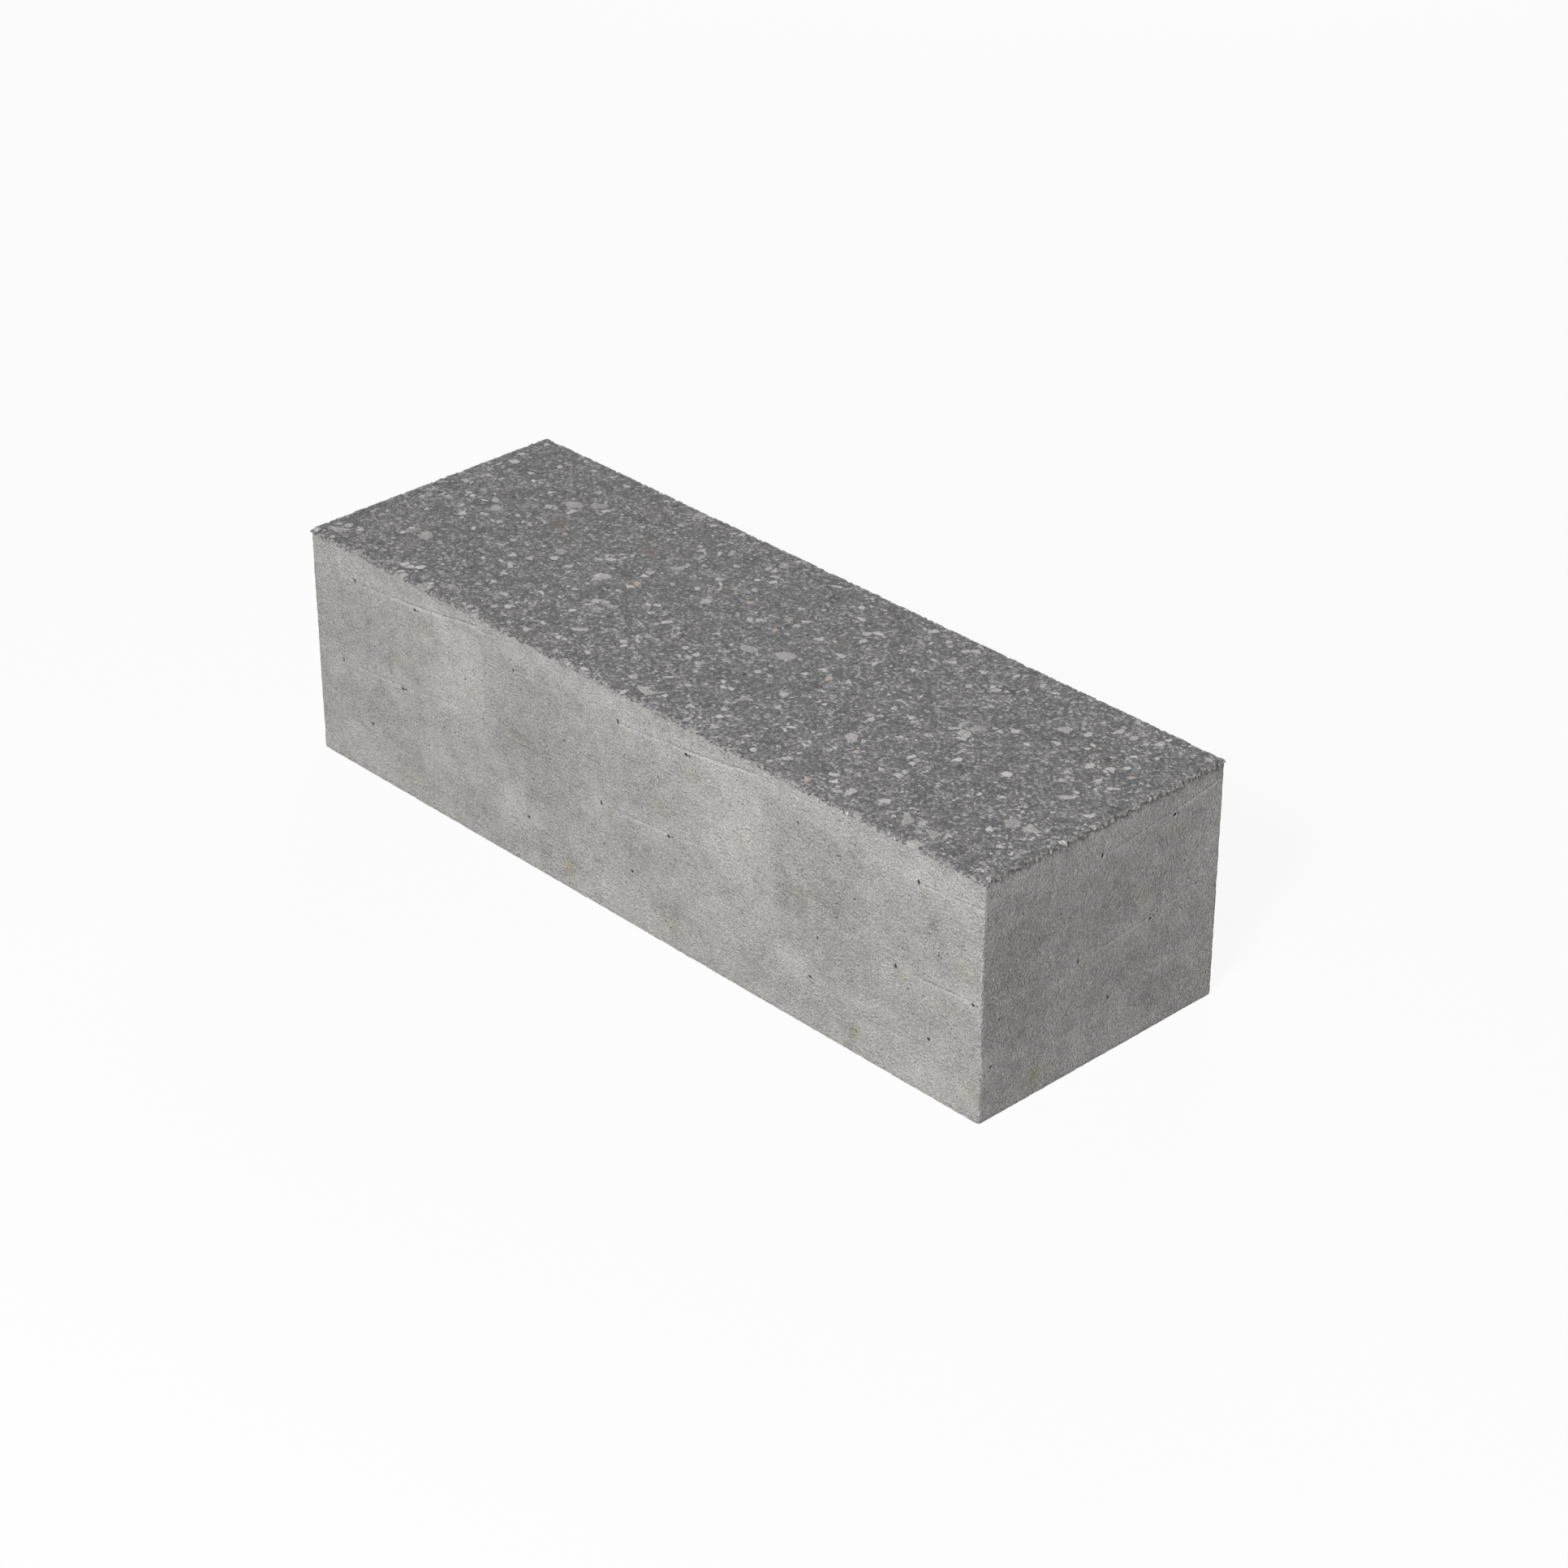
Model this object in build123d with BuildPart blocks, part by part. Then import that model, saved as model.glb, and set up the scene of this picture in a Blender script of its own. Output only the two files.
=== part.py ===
from build123d import *
import os

# Rectangular concrete paver, pressed in one piece in a steel mould: a light backing
# with a thin dark facing of exposed aggregate on its walking side.
# Millimetres, +Z up. The origin is the centre of the underside, X runs along the length.

# Overall size, measured over the facing, which stands a little proud of the sides
length = 300.0
width = 100.0
height = 80.0

# Facing
facing_edge_height = 1.4      # height of the facing's rim, where it shows from the side
facing_overhang = 0.6         # how far the rim stands proud of the backing's sides
facing_corner_radius = 1.6    # rim's corners, seen from above
arris_radius = 1.2            # worn round edge between the walking face and the rim

# Backing
backing_corner_radius = 0.8   # upright corners, left by the mould
bed_arris_radius = 0.5        # crumbled edge round the underside

backing_length = length - 2 * facing_overhang
backing_width = width - 2 * facing_overhang
backing_height = height - facing_edge_height

with BuildPart() as paver:
    # Backing, filled into the mould and pressed
    with BuildSketch() as backing_outline:
        Rectangle(backing_length, backing_width)
        fillet(backing_outline.vertices(), backing_corner_radius)
    extrude(amount=backing_height)
    bed_face = paver.faces().sort_by(Axis.Z)[0]
    fillet(bed_face.edges(), bed_arris_radius)

    # Facing, pressed on while both are wet, so that it spreads over the backing's edge
    with BuildSketch(Plane.XY.offset(backing_height)) as facing_outline:
        Rectangle(length, width)
        fillet(facing_outline.vertices(), facing_corner_radius)
    extrude(amount=facing_edge_height)
    walking_face = paver.faces().sort_by(Axis.Z)[-1]
    fillet(walking_face.edges(), arris_radius)

paver.part.label = "paver"

os.makedirs("parts", exist_ok=True)
export_step(paver.part, "parts/paver.step")
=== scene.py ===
import math
import bmesh
import bpy
import numpy as np
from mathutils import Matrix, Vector


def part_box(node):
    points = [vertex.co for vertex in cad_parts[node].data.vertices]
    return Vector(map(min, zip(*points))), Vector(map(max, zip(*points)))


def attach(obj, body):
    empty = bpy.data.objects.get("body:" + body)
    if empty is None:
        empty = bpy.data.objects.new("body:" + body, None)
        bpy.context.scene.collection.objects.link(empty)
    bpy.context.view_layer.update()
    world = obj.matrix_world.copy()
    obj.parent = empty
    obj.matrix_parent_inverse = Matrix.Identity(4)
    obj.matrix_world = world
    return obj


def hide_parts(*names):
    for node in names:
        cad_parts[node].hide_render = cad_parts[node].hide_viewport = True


# A pressed concrete paver: a light backing, and over it a thin dark facing of exposed aggregate.
# Sizes are in millimetres unless a note says otherwise. A noise's cell is about half as long as what it shows.

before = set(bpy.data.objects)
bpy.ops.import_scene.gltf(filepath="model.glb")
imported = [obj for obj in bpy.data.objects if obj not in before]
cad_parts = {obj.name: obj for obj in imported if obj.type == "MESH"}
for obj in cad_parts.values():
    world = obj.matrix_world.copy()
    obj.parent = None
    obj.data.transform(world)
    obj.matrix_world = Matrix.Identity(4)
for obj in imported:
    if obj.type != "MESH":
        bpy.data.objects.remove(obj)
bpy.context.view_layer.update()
mm = 0.001
_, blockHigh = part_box("paver")
halfLength = blockHigh.x / mm
halfWidth = blockHigh.y / mm
blockHeight = blockHigh.z / mm
noiseLow, noiseHigh = 0.3, 0.7      # nearly all of a noise's values lie between these


# Turns an sRGB hex colour into the linear one that nodes take
def toLinear(hexColour):
    values = [int(hexColour[i:i + 2], 16) / 255 for i in (1, 3, 5)]
    linear = [v / 12.92 if v <= 0.04045 else ((v + 0.055) / 1.055) ** 2.4 for v in values]
    return (*linear, 1)


# Adds one node, sets it, and links what is given as a node (its first output in use) or as a socket
def addNode(tree, kind, inputs, **settings):
    node = tree.nodes.new(kind if "Node" in kind else "ShaderNode" + kind)
    for name, value in settings.items():
        setattr(node, name, value)
    for name, value in inputs.items():
        if isinstance(value, bpy.types.Node):
            value = next(output for output in value.outputs if output.enabled)
        if isinstance(value, bpy.types.NodeSocket):
            tree.links.new(value, node.inputs[name])
        else:
            node.inputs[name].default_value = value
    return node


def selectOnly(piece):
    bpy.ops.object.select_all(action="DESELECT")
    piece.select_set(True)
    bpy.context.view_layer.objects.active = piece


def editMesh(piece):
    selectOnly(piece)
    bpy.ops.object.mode_set(mode="EDIT")
    return bmesh.from_edit_mesh(piece.data)


def leaveMesh():
    bpy.ops.mesh.select_all(action="SELECT")
    bpy.ops.mesh.normals_make_consistent(inside=False)
    bpy.ops.object.mode_set(mode="OBJECT")


def pick(mesh, kind, wanted):
    bpy.ops.mesh.select_all(action="DESELECT")
    bpy.ops.mesh.select_mode(type=kind)
    for part in filter(wanted, mesh.edges if kind == "EDGE" else mesh.faces):
        part.select_set(True)


# Presses a finished mesh inwards by a depth, in millimetres, that makeDepth works out from the place
def pressRelief(piece, makeDepth):
    tree = bpy.data.node_groups.new(piece.name + "Relief", "GeometryNodeTree")
    for way in ("INPUT", "OUTPUT"):
        tree.interface.new_socket(name="Geometry", in_out=way, socket_type="NodeSocketGeometry")
    start = addNode(tree, "NodeGroupInput", {})
    position = addNode(tree, "GeometryNodeInputPosition", {})
    place = addNode(tree, "VectorMath", {0: position, "Scale": 1 / mm}, operation="SCALE")
    inward = addNode(tree, "Math", {0: makeDepth(tree, place), 1: -mm}, operation="MULTIPLY")
    normal = addNode(tree, "GeometryNodeInputNormal", {})
    offset = addNode(tree, "VectorMath", {0: normal, "Scale": inward}, operation="SCALE")
    pressed = addNode(tree, "GeometryNodeSetPosition", {"Geometry": start, "Offset": offset})
    addNode(tree, "NodeGroupOutput", {0: pressed})
    selectOnly(piece)
    modifier = piece.modifiers.new("relief", "NODES")
    modifier.node_group = tree
    bpy.ops.object.modifier_apply(modifier="relief")


# A shift to and fro that changes from place to place
def wander(tree, place, cell, reach, detail=1.0):
    noise = addNode(tree, "TexNoise", {"Vector": place, "Scale": 1 / cell, "Detail": detail})
    centred = addNode(tree, "VectorMath", {
        0: noise.outputs["Color"], 1: (0.5, 0.5, 0.5)}, operation="SUBTRACT")
    return addNode(tree, "VectorMath", {0: centred, "Scale": 2 * reach}, operation="SCALE")


# Shifts a pattern's points about, so that what it draws has ragged outlines
def ruffle(tree, place, cell, reach):
    shift = wander(tree, place, cell, reach)
    return addNode(tree, "VectorMath", {0: place, 1: shift}, operation="ADD")


# Stones or holes scattered through the concrete and cut by its surface: round ones where a radius is given,
# and else angular ones that fill their own cells up to a gap. Gives 1 on a stone and 0 between, and its shade
def scatter(tree, place, stones, softEdge=0.07):
    spacing = stones["spacing"]
    cells = addNode(tree, "TexVoronoi", {"Vector": place, "Scale": 1 / spacing})
    chance = addNode(tree, "SeparateXYZ", {0: cells.outputs["Color"]})
    chosen = addNode(tree, "Math", {0: chance.outputs[0], 1: stones["share"]}, operation="LESS_THAN")
    isRound = "radius" in stones
    low, high = [size / spacing for size in stones["radius" if isRound else "gap"]]
    size = addNode(tree, "MapRange", {"Value": chance.outputs[1], "To Min": low, "To Max": high})
    if isRound:
        inside = addNode(tree, "Math", {0: size, 1: cells.outputs["Distance"]}, operation="SUBTRACT")
    else:
        sides = addNode(tree, "TexVoronoi", {
            "Vector": place, "Scale": 1 / spacing}, feature="DISTANCE_TO_EDGE")
        inside = addNode(tree, "Math", {0: sides, 1: size}, operation="SUBTRACT")
    solid = addNode(tree, "MapRange", {"Value": inside, "From Min": 0.0, "From Max": softEdge / spacing})
    stone = addNode(tree, "Math", {0: solid, 1: chosen}, operation="MULTIPLY")
    return stone, chance.outputs[2]


# How far a place lies inside the ends, and how far inside the long sides
def sideGaps(tree, axes, half):
    gaps = []
    for axis in (0, 1):
        size = addNode(tree, "Math", {0: axes.outputs[axis]}, operation="ABSOLUTE")
        gaps.append(addNode(tree, "Math", {0: half[axis], 1: size}, operation="SUBTRACT"))
    return gaps


# Each layer starts as a fine grid, flat on the walking face or the bed, whose edge is extruded in loops round
# the arris and along the sides. A loop is (how far inside the layer's own sides, height)
def makeLayer(name, half, grid, loops):
    (inset, startHeight), *loops = loops
    bpy.ops.object.select_all(action="DESELECT")
    flat = [2 * (side - inset) for side in half]
    bpy.ops.mesh.primitive_grid_add(
        x_subdivisions=round(flat[0] / grid), y_subdivisions=round(flat[1] / grid),
        size=1, location=(0, 0, startHeight * mm))
    piece = bpy.context.object
    piece.name = piece.data.name = name
    piece.scale = (flat[0] * mm, flat[1] * mm, 1)
    bpy.ops.object.transform_apply(location=True, rotation=True, scale=True)
    editMesh(piece)
    bpy.ops.mesh.select_mode(type="EDGE")
    bpy.ops.mesh.select_all(action="SELECT")
    bpy.ops.mesh.region_to_loop()
    lastHeight = startHeight
    for inside, height in loops:
        rise = (height - lastHeight) * mm
        bpy.ops.mesh.extrude_edges_move(TRANSFORM_OT_translate={"value": (0, 0, rise)})
        if inside != inset:
            bpy.ops.transform.resize(
                value=((half[0] - inside) / (half[0] - inset), (half[1] - inside) / (half[1] - inset), 1),
                center_override=(0, 0, height * mm))
        inset, lastHeight = inside, height
    bpy.ops.mesh.edge_face_add()
    leaveMesh()
    return piece


# Loops of a quarter round of the given radius that leads from a flat face at the height to an upright side
def quarterRound(radius, height, steps, upwards):
    loops = []
    for step in range(steps + 1):
        angle = math.pi / 2 * step / steps
        loops.append((radius * (1 - math.sin(angle)), height + upwards * radius * (1 - math.cos(angle))))
    return loops


# Facing
facing = {
    "rimHeight": 1.4,           # dark rim, seen from the side
    "overhang": 0.6,            # how far the rim stands proud of the backing
    "arris": 1.2,               # worn round edge
    "arrisSteps": 4,
    "corner": 1.6,              # corners, seen from above
    "grid": 0.6,                # between points of the walking face
    "lap": 2.0,                 # underside of the rim, up to where it closes on the backing
    "grainCell": 1.5,           # grains of the paste
    "grainDepth": 0.10,
    "lumpCell": 5.0,            # slow rise and fall
    "lumpDepth": 0.10,
    "stoneRise": 0.10,          # how far a stone stands out of the paste round it
    "ragged": (0.5, 0.6),       # cell and reach of the waves in the stones' outlines
    "chipCell": 1.2,            # grains broken out along the arris
    "chipStart": (0.43, 0.57),  # values of the noise where a chip starts and where it is full
    "chipBand": (0.6, 1.6),     # how far inside the sides the chips are full, and where they end
    "chipDepth": 0.45,
    "footDepth": 1.0,           # of the chips along the rim's foot, down to the backing
    "footBand": (0.3, 0.9),     # heights over the foot between which one depth passes into the other
}
facingHalf = (halfLength, halfWidth)

# Crushed stones and grit in the facing. The gap is the stone's distance from the sides of its cell
grit = {
    "large": {"spacing": 5.5, "share": 0.06, "gap": (0.5, 1.5), "colour": "#d4d2d0", "cover": 0.9},
    "medium": {"spacing": 2.6, "share": 0.14, "gap": (0.15, 0.65), "colour": "#e6e4e3", "cover": 0.95},
    "small": {"spacing": 1.2, "share": 0.15, "gap": (0.05, 0.25), "colour": "#e0dede", "cover": 0.95},
    "dark": {"spacing": 5.0, "share": 0.10, "gap": (0.3, 1.0), "colour": "#6b6a6d", "cover": 0.40},
    "brown": {"spacing": 7.0, "share": 0.04, "gap": (0.5, 1.5), "colour": "#7c6f66", "cover": 0.5},
    "beige": {"spacing": 2.6, "share": 0.004, "gap": (0.2, 0.6), "colour": "#c9b59d", "cover": 0.8},
    # pits: small hollows, sunk by the bump, coloured near black as painted shade
    "pit": {"spacing": 3.4, "share": 0.03, "gap": (0.6, 1.0), "colour": "#333236", "cover": 0.9},
}


# Turns the square corners seen from above into round ones
def roundCorners(piece, radius):
    points = np.empty(len(piece.data.vertices) * 3)
    piece.data.vertices.foreach_get("co", points)
    points = points.reshape(-1, 3)
    core = np.array([halfLength - radius, halfWidth - radius]) * mm
    past = np.abs(points[:, :2]) - core
    atCorner = (past > 0).all(axis=1)
    reach = past[atCorner].max(axis=1) / np.linalg.norm(past[atCorner], axis=1)
    points[atCorner, :2] = np.sign(points[atCorner, :2]) * (core + past[atCorner] * reach[:, None])
    piece.data.vertices.foreach_set("co", points.ravel())
    piece.data.update()


def makeFacing(sizes):
    loops = quarterRound(sizes["arris"], blockHeight, sizes["arrisSteps"], -1)
    rimFoot = blockHeight - sizes["rimHeight"]
    loops += [(inside, rimFoot) for inside in (0, sizes["overhang"], sizes["lap"])]
    piece = makeLayer("facing", facingHalf, sizes["grid"], loops)
    roundCorners(piece, sizes["corner"])
    return piece


def facingDepth(tree, place):
    layers = []
    for name in ("grain", "lump"):
        noise = addNode(tree, "TexNoise", {
            "Vector": place, "Scale": 1 / facing[name + "Cell"], "Detail": 1.0})
        layers.append(addNode(tree, "MapRange", {
            "Value": noise, "From Min": noiseHigh, "From Max": noiseLow, "To Max": facing[name + "Depth"]}))
    depth = addNode(tree, "Math", {0: layers[0], 1: layers[1]}, operation="ADD")
    ragged = ruffle(tree, place, *facing["ragged"])
    rise = facing["stoneRise"] / 2      # half by raising the stones, half by lowering the paste
    for name in ("large", "medium"):
        stone = scatter(tree, ragged, grit[name])[0]
        depth = addNode(tree, "Math", {0: stone, 1: -rise, 2: depth}, operation="MULTIPLY_ADD")
    depth = addNode(tree, "Math", {0: depth, 1: rise}, operation="ADD")

    # Grains broken out where the walking face turns over into the rim, and along the rim's foot
    axes = addNode(tree, "SeparateXYZ", {0: place})
    gaps = sideGaps(tree, axes, facingHalf)
    gap = addNode(tree, "Math", {0: gaps[0], 1: gaps[1]}, operation="MINIMUM")
    full, end = facing["chipBand"]
    nearEdge = addNode(tree, "MapRange", {"Value": gap, "From Min": end, "From Max": full})
    foot = blockHeight - facing["rimHeight"]
    low, high = facing["footBand"]
    reach = addNode(tree, "MapRange", {
        "Value": axes.outputs[2], "From Min": foot + low, "From Max": foot + high,
        "To Min": facing["footDepth"], "To Max": facing["chipDepth"]})
    broken = addNode(tree, "TexNoise", {
        "Vector": ragged, "Scale": 1 / facing["chipCell"], "Detail": 1.0})
    start, full = facing["chipStart"]
    chips = addNode(tree, "MapRange", {
        "Value": broken, "From Min": start, "From Max": full, "To Max": reach})
    chipped = addNode(tree, "Math", {0: chips, 1: nearEdge, 2: depth}, operation="MULTIPLY_ADD")
    return addNode(tree, "Math", {0: chipped, 1: 0.0}, operation="MAXIMUM")


# Backing
backing = {
    "grid": 1.1,                # between points of the bed and the walls
    "corner": 0.8,              # upright corners
    "cornerSteps": 3,
    "bedEdge": 0.5,             # crumbled edge round the bed face
    "bedEdgeSteps": 2,
    "intoFacing": 0.6,          # how far it reaches up into the facing, so that no gap shows
    "relief": (                 # cell and depth
        (22.0, 0.07),           # slow hollows
        (6.0, 0.06),            # lumps
        (1.8, 0.17),            # sand
    ),
}
backingHalf = (halfLength - facing["overhang"], halfWidth - facing["overhang"])

# Marks of the mould on the walls. Their own measure u runs along each wall: it is the wall's axis plus a
# shift, and comes round again
pattern = {
    "first": -60.0,             # where u starts
    "length": 125.8,            # from there to where it comes round again
    "height": 80.0,             # top of the curves that marks follow
    "walls": {                  # axis along the wall, side of the other axis, shift
        "front": (0, -1, 1.8),
        "back": (0, 1, 41.0),
        "rightEnd": (1, 1, 1.5),
        "leftEnd": (1, -1, 74.0),
    },
}

# Air pores, left where a bubble lay against the mould: u, height on the wall, width, height
pores = [
    (-0.1, 68.9, 0.7, 1.6), (1.6, 70.0, 0.45, 0.45), (-48.4, 67.2, 0.6, 1.2), (-31.9, 63.5, 0.6, 0.6),
    (-16.8, 68.1, 0.5, 0.5), (-47.1, 59.1, 0.5, 0.5), (-25.1, 52.2, 0.6, 0.7), (-44.2, 49.3, 0.5, 0.5),
    (-32.2, 42.9, 0.6, 0.6), (-8.5, 37.5, 0.6, 1.6), (-40.3, 32.3, 0.7, 0.9), (-24.8, 29.6, 0.5, 0.5),
    (-43.3, 17.7, 0.9, 0.9), (5.0, 19.3, 0.9, 1.0), (2.9, 50.6, 0.5, 0.5), (8.2, 48.8, 0.65, 0.6),
    (9.3, 48.3, 0.5, 0.5), (11.4, 50.7, 0.5, 0.6), (17.5, 57.5, 0.5, 0.6), (30.1, 70.0, 1.1, 0.9),
    (31.7, 70.1, 0.7, 0.7), (21.8, 38.8, 1.1, 0.9), (23.4, 39.1, 0.7, 0.7), (32.8, 74.7, 0.5, 0.5),
    (35.6, 48.4, 0.6, 0.5), (46.2, 61.0, 0.5, 0.5), (54.0, 54.9, 0.5, 0.7), (59.2, 54.4, 0.5, 0.5),
    (57.0, 52.3, 0.45, 0.45), (24.5, 31.9, 0.5, 0.5), (-22.9, 9.9, 0.5, 0.5), (-24.2, 2.2, 0.5, 0.5),
]

# The ball that cuts a pore is larger than the pore, because the relief takes away its rim
bubble = {
    "along": 1.7,               # times the pore's width
    "up": 1.35,                 # times the pore's height
    "deep": 4.0,                # times the pore's width, half of it in the wall
    "rough": 0.06,              # on a ball 1 mm across
    "fromCorner": 1.5,          # least distance from a wall's end
    "sliver": 0.03,             # points nearer to each other than this are merged after the cut
}


def makeBacking(sizes):
    top = blockHeight - facing["rimHeight"] + sizes["intoFacing"]
    bedEdge = sizes["bedEdge"]
    loops = quarterRound(bedEdge, 0, sizes["bedEdgeSteps"], 1)
    rows = round((top - bedEdge) / sizes["grid"])
    loops += [(0, bedEdge + (top - bedEdge) * (row + 1) / rows) for row in range(rows)]
    piece = makeLayer("backing", backingHalf, sizes["grid"], loops)
    mesh = editMesh(piece)
    tolerance = 0.01 * mm

    # Upright corners, from the bed to the top
    def atCorner(edge):
        gaps = [half * mm - abs(v.co[axis]) for v in edge.verts for axis, half in enumerate(backingHalf)]
        level = abs(edge.verts[0].co.z - edge.verts[1].co.z) < tolerance
        return not level and max(gaps) < bedEdge * mm + tolerance

    pick(mesh, "EDGE", atCorner)
    bpy.ops.mesh.bevel(
        offset=sizes["corner"] * mm, segments=sizes["cornerSteps"], affect="EDGES", clamp_overlap=False)
    leaveMesh()
    return piece


def backingDepth(tree, place):
    depth = 0.0
    for cell, deepest in backing["relief"]:
        noise = addNode(tree, "TexNoise", {"Vector": place, "Scale": 1 / cell, "Detail": 1.0})
        layer = addNode(tree, "MapRange", {
            "Value": noise, "From Min": noiseHigh, "From Max": noiseLow, "To Max": deepest})
        depth = addNode(tree, "Math", {0: layer, 1: depth}, operation="ADD")
    return depth


# Copies of one rough ball, at every pore of all four walls
def makeBubbles(sizes):
    bpy.ops.object.select_all(action="DESELECT")
    bpy.ops.mesh.primitive_ico_sphere_add(subdivisions=2, radius=0.5 * mm)
    ball = bpy.context.object
    ball.name = "bubble"
    editMesh(ball)
    bpy.ops.mesh.select_all(action="SELECT")
    bpy.ops.transform.vertex_random(offset=sizes["rough"] * mm, seed=3)
    leaveMesh()
    balls = []
    for along, side, shift in pattern["walls"].values():
        across = 1 - along
        for u, height, width, tall in pores:
            for turn in (-2, -1, 0, 1, 2):
                reach = u - shift + turn * pattern["length"]
                if abs(reach) > backingHalf[along] - sizes["fromCorner"]:
                    continue
                copy = ball.copy()
                copy.data = ball.data.copy()
                bpy.context.collection.objects.link(copy)
                size, place = [sizes["deep"] * width] * 2, [0, 0]
                size[along] = sizes["along"] * width
                place[along], place[across] = reach * mm, side * backingHalf[across] * mm
                copy.scale = (*size, sizes["up"] * tall)
                copy.location = (*place, height * mm)
                balls.append(copy)
    bpy.data.objects.remove(ball)
    return balls


def cutPores(piece, sizes):
    balls = makeBubbles(sizes)
    poreCount = len(balls)
    selectOnly(balls[0])
    for ball in balls:
        ball.select_set(True)
    bpy.ops.object.join()
    cutter = bpy.context.object
    bpy.ops.object.transform_apply(location=True, rotation=True, scale=True)
    selectOnly(piece)
    modifier = piece.modifiers.new("pores", "BOOLEAN")
    modifier.operation = "DIFFERENCE"
    modifier.solver = "EXACT"
    modifier.object = cutter
    bpy.ops.object.modifier_apply(modifier="pores")
    bpy.data.objects.remove(cutter)

    # Clears the slivers, closes the slits and divides the many-sided faces that the cut leaves
    mesh = editMesh(piece)
    bpy.ops.mesh.select_all(action="SELECT")
    bpy.ops.mesh.remove_doubles(threshold=sizes["sliver"] * mm)
    bpy.ops.mesh.fill_holes(sides=4)
    pick(mesh, "FACE", lambda face: len(face.verts) > 4)
    bpy.ops.mesh.quads_convert_to_tris(ngon_method="BEAUTY")
    leaveMesh()
    return poreCount


facingPiece = makeFacing(facing)
pressRelief(facingPiece, facingDepth)
print("facing:", len(facingPiece.data.polygons), "faces")
backingPiece = makeBacking(backing)
pressRelief(backingPiece, backingDepth)
poreCount = cutPores(backingPiece, bubble)
print("backing:", len(backingPiece.data.polygons), "faces,", poreCount, "pores")


# Place on a piece, in millimetres
def placeOf(tree):
    coordinates = addNode(tree, "TexCoord", {})
    return addNode(tree, "VectorMath", {
        0: coordinates.outputs["Object"], "Scale": 1 / mm}, operation="SCALE")


def newMaterial(name):
    material = bpy.data.materials.new(name)
    material.use_nodes = True
    material.node_tree.nodes.clear()
    return material, material.node_tree


# Dull, chalky concrete, with its fine relief given as a height in millimetres
def finishConcrete(tree, colour, height, roughness):
    bump = addNode(tree, "Bump", {"Strength": 1.0, "Distance": mm, "Height": height})
    shader = addNode(tree, "BsdfPrincipled", {
        "Base Color": colour, "Roughness": roughness, "IOR": 1.5, "Diffuse Roughness": 0.7, "Normal": bump})
    addNode(tree, "OutputMaterial", {"Surface": shader})


aggregateColours = {
    "paste": "#8a8889",
    "roughness": 0.85,
    "grain": 0.85,              # from one grain of the paste to the next
    "crushed": (0.45, 0.7),     # cell and reach of the waves in the grains' outlines
    "grainSkew": 2.5,           # above 1 makes pale grains rarer
    "grainTone": (0.66, 1.98),  # times the paste's brightness, as are the other tones
    "grainHeight": 1.25,
    "gapShade": 0.58,            # painted shade in the crevices between grains
    "gapStart": (0.35, 0.75),   # shares of a grain's spacing where the painted shade starts and where it is full
    "dustCell": 0.35,           # rock dust and fine sand, drawn coarser than they are, to show
    "dustTone": (0.46, 1.64),
    "dustHeight": 1.0,
    "patchCell": 8.0,           # paler and darker patches
    "patchTone": (0.76, 1.24),
    "stoneFade": 0.3,           # cover of the faintest stones, as a share of the strongest
    "stoneHeights": {"large": 0.15, "medium": 0.15, "small": 0.10, "pit": -0.3},
    "crumb": "#c6c3bf",         # where the arris has broken
    "crumbCell": 1.1,
    "crumbStart": (0.50, 0.54),
    "crumbBand": (0.7, 1.8),
    "crumbCover": 0.65,
    "crumbHeight": 0.2,
}


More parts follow.
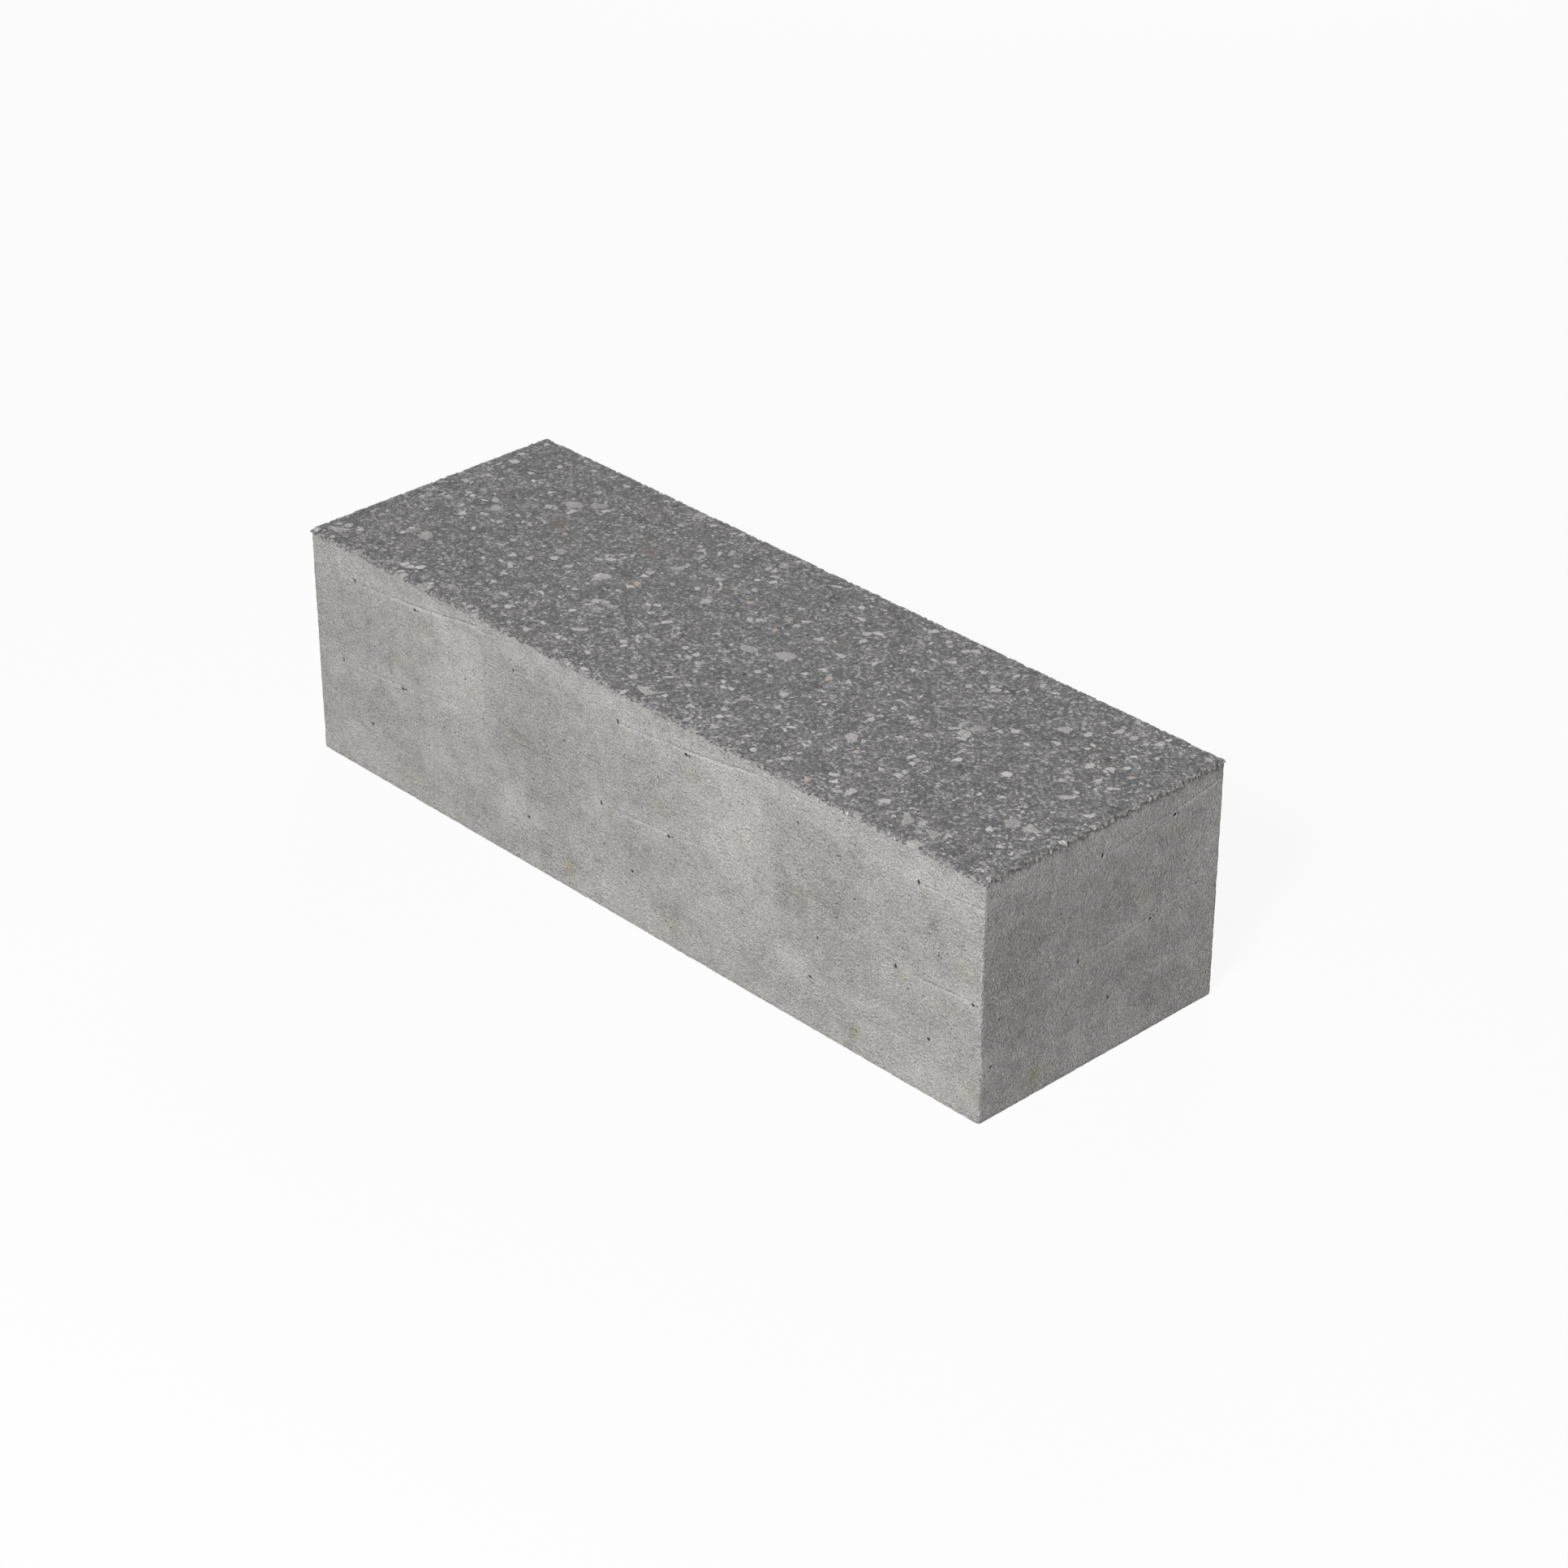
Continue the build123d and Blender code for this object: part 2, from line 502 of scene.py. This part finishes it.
# Facing concrete of crushed dark stone, washed while green: packed grey grains with paler stones standing
# among them, dull all over
def exposedAggregate(colours):
    material, tree = newMaterial("exposedAggregate")
    place = placeOf(tree)
    ragged = ruffle(tree, place, *facing["ragged"])
    dust = addNode(tree, "TexNoise", {
        "Vector": place, "Scale": 1 / colours["dustCell"], "Detail": 2.0, "Roughness": 0.6})
    patch = addNode(tree, "TexNoise", {
        "Vector": place, "Scale": 1 / colours["patchCell"], "Detail": 3.0, "Roughness": 0.6})
    crushed = ruffle(tree, place, *colours["crushed"])
    grains = addNode(tree, "TexVoronoi", {"Vector": crushed, "Scale": 1 / colours["grain"]})
    chance = addNode(tree, "SeparateXYZ", {0: grains.outputs["Color"]})
    skewed = addNode(tree, "Math", {0: chance.outputs[0], 1: colours["grainSkew"]}, operation="POWER")
    darkest, palest = colours["grainTone"]
    tone = addNode(tree, "MapRange", {"Value": skewed, "To Min": darkest, "To Max": palest})
    # Painted shade in the crevices between the grains
    start, full = colours["gapStart"]
    gap = addNode(tree, "MapRange", {
        "Value": grains, "From Min": start, "From Max": full, "To Min": 1.0, "To Max": colours["gapShade"]})
    for noise, (low, high) in ((dust, colours["dustTone"]), (patch, colours["patchTone"])):
        wide = addNode(tree, "MapRange", {
            "Value": noise, "From Min": noiseLow, "From Max": noiseHigh, "To Min": low, "To Max": high})
        tone = addNode(tree, "Math", {0: tone, 1: wide}, operation="MULTIPLY")
    tone = addNode(tree, "Math", {0: tone, 1: gap}, operation="MULTIPLY")
    paste = toLinear(colours["paste"])[:3]
    colour = addNode(tree, "VectorMath", {0: paste, "Scale": tone}, operation="SCALE")
    height = addNode(tree, "Math", {0: grains, 1: -colours["grainHeight"]}, operation="MULTIPLY")
    height = addNode(tree, "Math", {
        0: dust, 1: colours["dustHeight"], 2: height}, operation="MULTIPLY_ADD")
    for name in ("dark", "brown", "small", "medium", "large", "beige", "pit"):
        stone, shade = scatter(tree, ragged, grit[name])
        most = grit[name]["cover"]
        strength = addNode(tree, "MapRange", {
            "Value": shade, "To Min": colours["stoneFade"] * most, "To Max": most})
        cover = addNode(tree, "Math", {0: stone, 1: strength}, operation="MULTIPLY")
        colour = addNode(tree, "Mix", {
            0: cover, 6: colour, 7: toLinear(grit[name]["colour"])}, data_type="RGBA")
        rise = colours["stoneHeights"].get(name, 0.0)
        height = addNode(tree, "Math", {0: stone, 1: rise, 2: height}, operation="MULTIPLY_ADD")

    # Pale crumbs where the arris has broken
    axes = addNode(tree, "SeparateXYZ", {0: place})
    gaps = sideGaps(tree, axes, facingHalf)
    fromSide = addNode(tree, "Math", {0: gaps[0], 1: gaps[1]}, operation="MINIMUM")
    full, end = colours["crumbBand"]
    nearEdge = addNode(tree, "MapRange", {"Value": fromSide, "From Min": end, "From Max": full})
    crumb = addNode(tree, "TexNoise", {
        "Vector": ragged, "Scale": 1 / colours["crumbCell"], "Detail": 2.0})
    start, full = colours["crumbStart"]
    crumbs = addNode(tree, "MapRange", {"Value": crumb, "From Min": start, "From Max": full})
    crumbs = addNode(tree, "Math", {0: crumbs, 1: nearEdge}, operation="MULTIPLY")
    cover = addNode(tree, "Math", {0: crumbs, 1: colours["crumbCover"]}, operation="MULTIPLY")
    colour = addNode(tree, "Mix", {
        0: cover, 6: colour, 7: toLinear(colours["crumb"])}, data_type="RGBA")
    height = addNode(tree, "Math", {
        0: crumbs, 1: colours["crumbHeight"], 2: height}, operation="MULTIPLY_ADD")
    finishConcrete(tree, colour, height, colours["roughness"])
    return material


# Soft marks on the walls: u, height on the wall, half length, half height, amount at the middle
marks = {
    # Clouds and round blots in the cement skin: levels of grey lighter or darker
    "clouds": [
        (-38, 46, 34, 32, -13), (-30, 28, 18, 12, -5), (-35, 50, 8, 12, -4), (-55, 42, 12, 10, -7),
        (-36, 66, 26, 4, -6), (-36, 9, 20, 8, -9), (-58, 6, 9, 8, -8), (60, 11, 13, 8, -12),
        (24, 14, 15, 6, -11), (6, 27, 28, 9, -9), (4, 54, 24, 13, -8), (27, 50, 6, 12, -8),
        (-50, 19, 13, 9, 18), (-40, 75, 24, 7, 9), (3, 72, 28, 7, 10), (40, 72, 20, 5, 14),
        (53, 55, 22, 18, 17), (54, 67, 14, 8, 7), (42, 43, 18, 7, 8), (3, 7, 26, 11, 11),
        (-13, 35, 9, 7, 9), (18, 40, 16, 6, 8), (23, 58, 4, 4, 6), (40, 21, 18, 7, 8),
        (-18, 3, 8, 4, 5), (58, 32, 14, 10, 4),
    ],
    "blots": [
        (5.8, 57.9, 2.9, 2.7, -14), (-54, 37.7, 2.4, 2.2, -7), (58.5, 70, 1.2, 2.0, -8), (-56, 73, 2, 3, -4),
    ],
    # Stains
    "rust": [
        (32, 64.5, 8, 4, 3.6), (18, 48, 6, 4, 4.4), (-47, 44, 9, 5, 3.2), (23, 8.5, 11, 4, 3.8),
        (31, 34, 7, 3, 1.8), (10, 33, 13, 4, 1.6), (57, 51, 9, 4, 1.6), (-25, 8, 7, 5, 3.0),
    ],
    "lichen": [
        (-25.3, 7.3, 2.2, 3.6, 8), (-5.2, 35, 2.0, 1.6, 6), (3.1, 66.1, 1.8, 1.5, 5),
        (-48.6, 72.8, 0.8, 0.8, 9), (-0.4, 74.3, 0.8, 0.8, 9), (48.5, 73.1, 0.7, 0.7, 8),
    ],
    # Prints of the grain of the mould's lining: fine ripples, short upright ridges and long streaks
    "rippled": [(7, 45.5, 21, 7, 1.6)],
    "ridged": [(25, 49.5, 4, 5, 1.4)],
    "streaked": [(-30, 43, 40, 6, 1.5), (56, 43, 16, 5, 1.3), (-30, 14, 34, 3, 1.0)],
}

# Hairlines that ran through the wet skin: (u, height) along each, and (u, strength)
hairlines = [
    ([(-48, 67.8), (-26, 69.2), (-8, 67.6), (0.7, 69.0), (11.5, 69.7), (17.5, 70.4), (22, 71.1),
      (28, 71.35), (32.5, 72), (38, 72.75), (45, 73.75), (50, 74.6), (55, 75.5), (60, 76.1), (65, 76.6)],
     [(-50, 0), (-46, 0.35), (-28, 0.35), (-24, 0), (-1, 0), (1, 0.5), (20, 0.6), (30, 0.9), (50, 1),
      (60, 0.7), (65, 0)]),
    ([(-60, 75.7), (-56, 75.9), (-6, 38), (5, 38.5), (14, 39.3), (22, 39.9), (28, 40.8), (36, 42),
      (42, 42.8), (50, 43.5), (58, 74.6), (62, 75.25), (65, 75.6)],
     [(-60, 0.6), (-56, 0), (-6, 0), (-2, 0.3), (4, 0.8), (19, 0.75), (25, 0.35), (46, 0.3), (51, 0),
      (58, 0), (61, 0.7), (65, 0.6)]),
    ([(-55, 13.5), (-27, 14.6), (4, 15.8), (14, 15.7), (56, 17)],
     [(-57, 0), (-52, 0.35), (-30, 0.3), (2, 0.2), (8, 0), (16, 0.15), (30, 0.3), (54, 0.25), (58, 0)]),
]

concreteColours = {
    "skin": "#a9a7a4",
    "roughness": 0.9,
    "level": 0.0133,            # one level of grey, as a share of the skin's brightness
    "speckCell": 0.65,          # specks in the skin
    "speckTone": 128,           # levels of grey, as are the other tones
    "patchCell": 6.0,
    "patchTone": 50,
    "sandCell": 0.85,           # sand under the skin, drawn coarser than its grains of 0.1 to 1 mm, to show
    "sandHeight": 2.95,         # of which most of the skin keeps to the middle sixth
    "driftCell": 9.0,           # how the marks' outlines wander
    "cloudDrift": 7.0,
    "markDrift": 0.12,          # of the other marks, as a share of the clouds'
    "seamFade": (5.0, 0.2),     # length over which clouds fade where u comes round again, and to what share
    "bedFade": (0.4, 1.0),      # heights over the bed between which the walls' marks begin
    "cornerFade": (0.2, 1.5),   # the same for their relief and the pores' painted shade, from an upright corner
    "lineReach": (0.06, 0.24),  # half width of a hairline, where it is full and where it ends
    "lineTone": -34,
    "lineDepth": 0.2,
    "bruisePlace": (-0.75, 0.6),    # how far over the hairline its middle lies, and its half width
    "bruiseTone": 15,
    "bruiseHeight": 0.08,
    "ripple": 0.78,             # from one ripple to the next
    "ridge": 0.9,
    "rippleHeight": 0.19,
    "rippleTone": 6.0,
    "sagFrom": -10.0,           # where the lining's grain starts to run downwards, and how fast it steepens
    "sagTo": 24.0,
    "sag": 0.006,
    "fibres": (0.06, 1.1),      # cells of the streaks to the millimetre, along and up the wall
    "fibreBase": 0.5,           # strength of the streaks away from the marks above
    "fibreTone": 3.0,           # streaks against ripples
    # near black of the painted shade in the pores and pinholes
    "pore": "#282623",
    "poreCover": 0.95,
    "poreStart": (0.42, 0.55),  # depths in a pore where its painted shade starts and where it is full
    # tiny holes, pressed in by the bump and coloured with painted shade
    "pinholes": {"spacing": 2.0, "share": 0.5, "radius": (0.13, 0.42)},
    "pinholeEdge": 0.06,
    "pinholeDepth": 0.15,
    "rust": "#f3dfb8",
    "lichen": "#e8e29a",
    "stain": 0.06,              # cover for an amount of 1
}


# Measures along and up the walls, how deep a place is under them and how far from an upright corner
def wallMeasure(tree, place):
    axes = addNode(tree, "SeparateXYZ", {0: place})
    shifts = {(axis, side): shift for axis, side, shift in pattern["walls"].values()}
    along = []
    for axis in (0, 1):
        lowShift, highShift = shifts[axis, -1], shifts[axis, 1]
        high = addNode(tree, "Math", {0: axes.outputs[1 - axis], 1: 0.0}, operation="GREATER_THAN")
        shift = addNode(tree, "Math", {
            0: high, 1: highShift - lowShift, 2: lowShift}, operation="MULTIPLY_ADD")
        along.append(addNode(tree, "Math", {0: axes.outputs[axis], 1: shift}, operation="ADD"))
    gaps = sideGaps(tree, axes, backingHalf)
    onEnd = addNode(tree, "Math", {0: gaps[0], 1: gaps[1]}, operation="LESS_THAN")
    step = addNode(tree, "Math", {0: along[1], 1: along[0]}, operation="SUBTRACT")
    measure = addNode(tree, "Math", {0: onEnd, 1: step, 2: along[0]}, operation="MULTIPLY_ADD")
    first = pattern["first"]
    u = addNode(tree, "Math", {0: measure, 1: first + pattern["length"], 2: first}, operation="WRAP")
    depth = addNode(tree, "Math", {0: gaps[0], 1: gaps[1]}, operation="MINIMUM")
    apart = addNode(tree, "Math", {0: gaps[0], 1: gaps[1]}, operation="SUBTRACT")
    fromCorner = addNode(tree, "Math", {0: apart}, operation="ABSOLUTE")
    return u, axes.outputs[2], depth, fromCorner


# Adds up soft spots, each 1 at its middle and 0 at its edge, times its amount
def addSpots(tree, place, spots):
    total = 0.0
    for u, height, halfU, halfHeight, amount in spots:
        centred = addNode(tree, "Mapping", {
            "Vector": place, "Location": (u, height, 0), "Scale": (halfU, halfHeight, 1)},
            vector_type="TEXTURE")
        spot = addNode(tree, "TexGradient", {"Vector": centred}, gradient_type="SPHERICAL")
        total = addNode(tree, "Math", {
            0: spot.outputs["Fac"], 1: amount, 2: total}, operation="MULTIPLY_ADD")
    return total


# A curve through points given as (u, value), for values from 0 to the top one
def addCurve(tree, u, points, top):
    first, length = pattern["first"], pattern["length"]
    share = addNode(tree, "MapRange", {"Value": u, "From Min": first, "From Max": first + length})
    node = addNode(tree, "FloatCurve", {"Value": share})
    curve = node.mapping.curves[0]
    spread = [((x - first) / length, y / top) for x, y in points]
    curve.points[0].location = (0, spread[0][1])
    curve.points[-1].location = (1, spread[-1][1])
    for x, y in spread:
        if 0.001 < x < 0.999:       # between the two that every curve has
            curve.points.new(x, y)
    for point in curve.points:
        point.handle_type = "VECTOR"
    node.mapping.update()
    return addNode(tree, "Math", {0: node, 1: top}, operation="MULTIPLY")


# Adds each hairline's thin dark line, and the paler bruise under it, to the tone. Gives that and their depth
def addHairlines(tree, colours, u, height, onWall, tone):
    depth = 0.0
    thin, wide = colours["lineReach"]
    middleOfBruise, halfBruise = colours["bruisePlace"]
    for path, strengths in hairlines:
        middle = addCurve(tree, u, path, pattern["height"])
        strength = addCurve(tree, u, strengths, 1.0)
        strength = addNode(tree, "Math", {0: strength, 1: onWall}, operation="MULTIPLY")
        above = addNode(tree, "Math", {0: height, 1: middle}, operation="SUBTRACT")
        away = addNode(tree, "Math", {0: above}, operation="ABSOLUTE")
        hair = addNode(tree, "MapRange", {"Value": away, "From Min": wide, "From Max": thin})
        bruise = addNode(tree, "Math", {0: above, 1: middleOfBruise, 2: halfBruise}, operation="COMPARE")
        for mark, levels, sink in ((hair, colours["lineTone"], colours["lineDepth"]),
                                   (bruise, colours["bruiseTone"], -colours["bruiseHeight"])):
            mark = addNode(tree, "Math", {0: mark, 1: strength}, operation="MULTIPLY")
            tone = addNode(tree, "Math", {0: mark, 1: levels, 2: tone}, operation="MULTIPLY_ADD")
            depth = addNode(tree, "Math", {0: mark, 1: sink, 2: depth}, operation="MULTIPLY_ADD")
    return tone, depth


# Prints of the lining's grain, which runs level and then sags to the right
def addLining(tree, colours, u, near, onWall):
    past = addNode(tree, "MapRange", {
        "Value": u, "From Min": colours["sagFrom"], "From Max": colours["sagTo"],
        "To Max": colours["sagTo"] - colours["sagFrom"]})
    sag = addNode(tree, "Math", {0: past, 1: past}, operation="MULTIPLY")
    sagging = addNode(tree, "CombineXYZ", {1: sag})
    bent = addNode(tree, "VectorMath", {
        0: sagging, 1: (0, colours["sag"], 0), 2: near}, operation="MULTIPLY_ADD")
    lines = addNode(tree, "SeparateXYZ", {0: bent})
    ripple = 0.0
    for axis, spacing, name in ((1, colours["ripple"], "rippled"), (0, colours["ridge"], "ridged")):
        turn = addNode(tree, "Math", {
            0: lines.outputs[axis], 1: 2 * math.pi / spacing}, operation="MULTIPLY")
        wave = addNode(tree, "Math", {0: turn}, operation="SINE")
        printed = addNode(tree, "Math", {
            0: addSpots(tree, near, marks[name]), 1: 1.0}, operation="MINIMUM")
        ripple = addNode(tree, "Math", {0: wave, 1: printed, 2: ripple}, operation="MULTIPLY_ADD")
    stretched = addNode(tree, "VectorMath", {0: bent, 1: (*colours["fibres"], 0)}, operation="MULTIPLY")
    fibre = addNode(tree, "TexNoise", {"Vector": stretched, "Scale": 1.0, "Detail": 2.0})
    evenFibre = addNode(tree, "Math", {0: fibre, 1: -0.5}, operation="ADD")
    streaking = addNode(tree, "Math", {
        0: addSpots(tree, near, marks["streaked"]), 1: colours["fibreBase"]}, operation="ADD")
    streak = addNode(tree, "Math", {0: evenFibre, 1: streaking}, operation="MULTIPLY")
    grain = addNode(tree, "Math", {
        0: streak, 1: colours["fibreTone"], 2: ripple}, operation="MULTIPLY_ADD")
    return addNode(tree, "Math", {0: grain, 1: onWall}, operation="MULTIPLY")


# Pressed backing concrete, struck from a mould while green: pale grey cement skin, sandy and dull, with
# clouds where the skin is thinner, hairlines and air pores
def pressedConcrete(colours):
    material, tree = newMaterial("pressedConcrete")
    place = placeOf(tree)
    u, height, depth, fromCorner = wallMeasure(tree, place)
    low, high = colours["bedFade"]
    onWall = addNode(tree, "MapRange", {"Value": height, "From Min": low, "From Max": high})
    low, high = colours["cornerFade"]
    flatWall = addNode(tree, "MapRange", {"Value": fromCorner, "From Min": low, "From Max": high})

    # Where the marks are read: loosely for the clouds, and nearer to their places for the rest
    spot = addNode(tree, "CombineXYZ", {0: u, 1: height, 2: 0.0})
    drift = wander(tree, place, colours["driftCell"], colours["cloudDrift"], 3.0)
    flat = addNode(tree, "VectorMath", {0: drift, 1: (1, 1, 0)}, operation="MULTIPLY")
    loose = addNode(tree, "VectorMath", {0: spot, 1: flat}, operation="ADD")
    little = (colours["markDrift"], colours["markDrift"], 0)
    near = addNode(tree, "VectorMath", {0: flat, 1: little, 2: spot}, operation="MULTIPLY_ADD")

    # Clouds and blots, fading where the marks come round again
    tone = addSpots(tree, loose, marks["clouds"])
    tone = addNode(tree, "Math", {0: tone, 1: addSpots(tree, near, marks["blots"])}, operation="ADD")
    tone = addNode(tree, "Math", {0: tone, 1: onWall}, operation="MULTIPLY")
    half = pattern["length"] / 2
    fromMiddle = addNode(tree, "Math", {0: u, 1: -(pattern["first"] + half)}, operation="ADD")
    fromMiddle = addNode(tree, "Math", {0: fromMiddle}, operation="ABSOLUTE")
    fadeLength, fadeTo = colours["seamFade"]
    fade = addNode(tree, "MapRange", {
        "Value": fromMiddle, "From Min": half - fadeLength, "From Max": half,
        "To Min": 1.0, "To Max": fadeTo}, interpolation_type="SMOOTHSTEP")
    tone = addNode(tree, "Math", {0: tone, 1: fade}, operation="MULTIPLY")

    # Specks and slower patches
    for name, roughness in (("speck", 0.7), ("patch", 0.75)):
        noise = addNode(tree, "TexNoise", {
            "Vector": place, "Scale": 1 / colours[name + "Cell"], "Detail": 3.0, "Roughness": roughness})
        even = addNode(tree, "Math", {0: noise, 1: -0.5}, operation="ADD")
        tone = addNode(tree, "Math", {
            0: even, 1: colours[name + "Tone"], 2: tone}, operation="MULTIPLY_ADD")

    tone, lineDepth = addHairlines(tree, colours, u, height, onWall, tone)
    grain = addLining(tree, colours, u, near, onWall)
    tone = addNode(tree, "Math", {0: grain, 1: colours["rippleTone"], 2: tone}, operation="MULTIPLY_ADD")

    # Painted shade in the pinholes and in the deep part of the pores
    pin = scatter(tree, place, colours["pinholes"], colours["pinholeEdge"])[0]
    start, full = colours["poreStart"]
    poreShade = addNode(tree, "MapRange", {"Value": depth, "From Min": start, "From Max": full})
    poreShade = addNode(tree, "Math", {0: poreShade, 1: flatWall}, operation="MULTIPLY")
    poreShade = addNode(tree, "Math", {0: poreShade, 1: onWall}, operation="MULTIPLY")
    dark = addNode(tree, "Math", {0: pin, 1: poreShade}, operation="MAXIMUM")

    scale = addNode(tree, "Math", {0: tone, 1: colours["level"], 2: 1.0}, operation="MULTIPLY_ADD")
    skin = toLinear(colours["skin"])[:3]
    colour = addNode(tree, "VectorMath", {0: skin, "Scale": scale}, operation="SCALE")
    for name in ("rust", "lichen"):
        amount = addNode(tree, "Math", {
            0: addSpots(tree, near, marks[name]), 1: onWall}, operation="MULTIPLY")
        share = addNode(tree, "Math", {
            0: amount, 1: colours["stain"]}, operation="MULTIPLY", use_clamp=True)
        colour = addNode(tree, "Mix", {
            0: share, 6: colour, 7: toLinear(colours[name])}, data_type="RGBA", blend_type="MULTIPLY")
    # Pinholes and the deep part of the pores take the pore colour as painted shade
    cover = addNode(tree, "Math", {0: dark, 1: colours["poreCover"]}, operation="MULTIPLY")
    colour = addNode(tree, "Mix", {0: cover, 6: colour, 7: toLinear(colours["pore"])}, data_type="RGBA")

    sand = addNode(tree, "TexNoise", {
        "Vector": place, "Scale": 1 / colours["sandCell"], "Detail": 2.0, "Roughness": 0.7})
    relief = addNode(tree, "Math", {0: sand, 1: colours["sandHeight"]}, operation="MULTIPLY")
    rise = addNode(tree, "Math", {0: grain, 1: colours["rippleHeight"]}, operation="MULTIPLY")
    rise = addNode(tree, "Math", {0: rise, 1: lineDepth}, operation="SUBTRACT")
    relief = addNode(tree, "Math", {0: rise, 1: flatWall, 2: relief}, operation="MULTIPLY_ADD")
    relief = addNode(tree, "Math", {
        0: pin, 1: -colours["pinholeDepth"], 2: relief}, operation="MULTIPLY_ADD")
    finishConcrete(tree, colour, relief, colours["roughness"])
    return material


sharpAngle = math.radians(40)       # edges that turn by more than this stay sharp
for piece, material in ((facingPiece, exposedAggregate(aggregateColours)),
                        (backingPiece, pressedConcrete(concreteColours))):
    selectOnly(piece)
    bpy.ops.object.shade_smooth_by_angle(angle=sharpAngle)
    piece.data.materials.clear()
    piece.data.materials.append(material)
    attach(piece, "root")
    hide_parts("paver")
print("materials done")


# Where the photograph was taken from, fitted to the block's edges
camera = {
    "place": (775.1, -717.1, 638.4),
    "azimuth": 46.56,           # degrees round from straight in front of the long side
    "elevation": 30.0,          # degrees above the horizon
    "lens": 90.7,               # on a 36 mm wide picture
}


def makeCamera(view):
    data = bpy.data.cameras.new("camera")
    data.lens = view["lens"]
    data.sensor_width = 36
    data.clip_start = 0.01
    data.clip_end = 50
    viewer = bpy.data.objects.new("camera", data)
    viewer.location = [value * mm for value in view["place"]]
    viewer.rotation_euler = (math.radians(90 - view["elevation"]), 0, math.radians(view["azimuth"]))
    bpy.context.scene.collection.objects.link(viewer)
    bpy.context.scene.camera = viewer


# Plain soft studio light on a white floor
studio = {
    "sky": 0.14,                # strength of the even light from all round
    "lamps": {                  # watts, metres across, direction from the block
        "key": (37.5, 0.5, (0.32, -0.73, 0.61)),
        "fill": (25, 1.0, (-0.62, 0.75, 0.16)),
    },
    "lampDistance": 1.8,        # metres
    "floorSize": 12,            # metres
    "floorColour": "#d9d9d9",
    "floorWhite": 0.92,         # share of plain white in what the camera sees of the floor
}


# 1 for what the camera sees directly, or in a reflection or through glass
def seenDirectly(tree):
    path = addNode(tree, "LightPath", {})
    seen = path.outputs["Is Camera Ray"]
    for name in ("Is Glossy Ray", "Is Transmission Ray"):
        seen = addNode(tree, "Math", {0: seen, 1: path.outputs[name]}, operation="MAXIMUM")
    return seen


def makeStudio(setup):
    world = bpy.data.worlds.new("studio")
    world.use_nodes = True
    tree = world.node_tree
    tree.nodes.clear()
    light = addNode(tree, "Background", {"Color": (1, 1, 1, 1), "Strength": setup["sky"]})
    white = addNode(tree, "Background", {"Color": (1, 1, 1, 1), "Strength": 1.0})
    mixed = addNode(tree, "MixShader", {0: seenDirectly(tree), 1: light, 2: white})
    addNode(tree, "OutputWorld", {"Surface": mixed})
    bpy.context.scene.world = world

    for name, (power, size, direction) in setup["lamps"].items():
        data = bpy.data.lights.new(name, "AREA")
        data.shape = "DISK"
        data.size = size
        data.energy = power
        lamp = bpy.data.objects.new(name, data)
        lamp.location = Vector(direction).normalized() * setup["lampDistance"]
        lamp.rotation_euler = (-lamp.location).to_track_quat("-Z", "Y").to_euler()
        bpy.context.scene.collection.objects.link(lamp)

    bpy.ops.object.select_all(action="DESELECT")
    bpy.ops.mesh.primitive_plane_add(size=setup["floorSize"], location=(0, 0, 0))
    floor = bpy.context.object
    floor.name = "floor"
    material, tree = newMaterial("paleFloor")
    matte = addNode(tree, "BsdfDiffuse", {"Color": toLinear(setup["floorColour"])})
    white = addNode(tree, "Emission", {"Color": (1, 1, 1, 1), "Strength": 1.0})
    share = addNode(tree, "Math", {0: seenDirectly(tree), 1: setup["floorWhite"]}, operation="MULTIPLY")
    mixed = addNode(tree, "MixShader", {0: share, 1: matte, 2: white})
    addNode(tree, "OutputMaterial", {"Surface": mixed})
    floor.data.materials.append(material)


makeCamera(camera)
makeStudio(studio)
bpy.context.scene.view_settings.view_transform = "Standard"
print("camera and studio done")
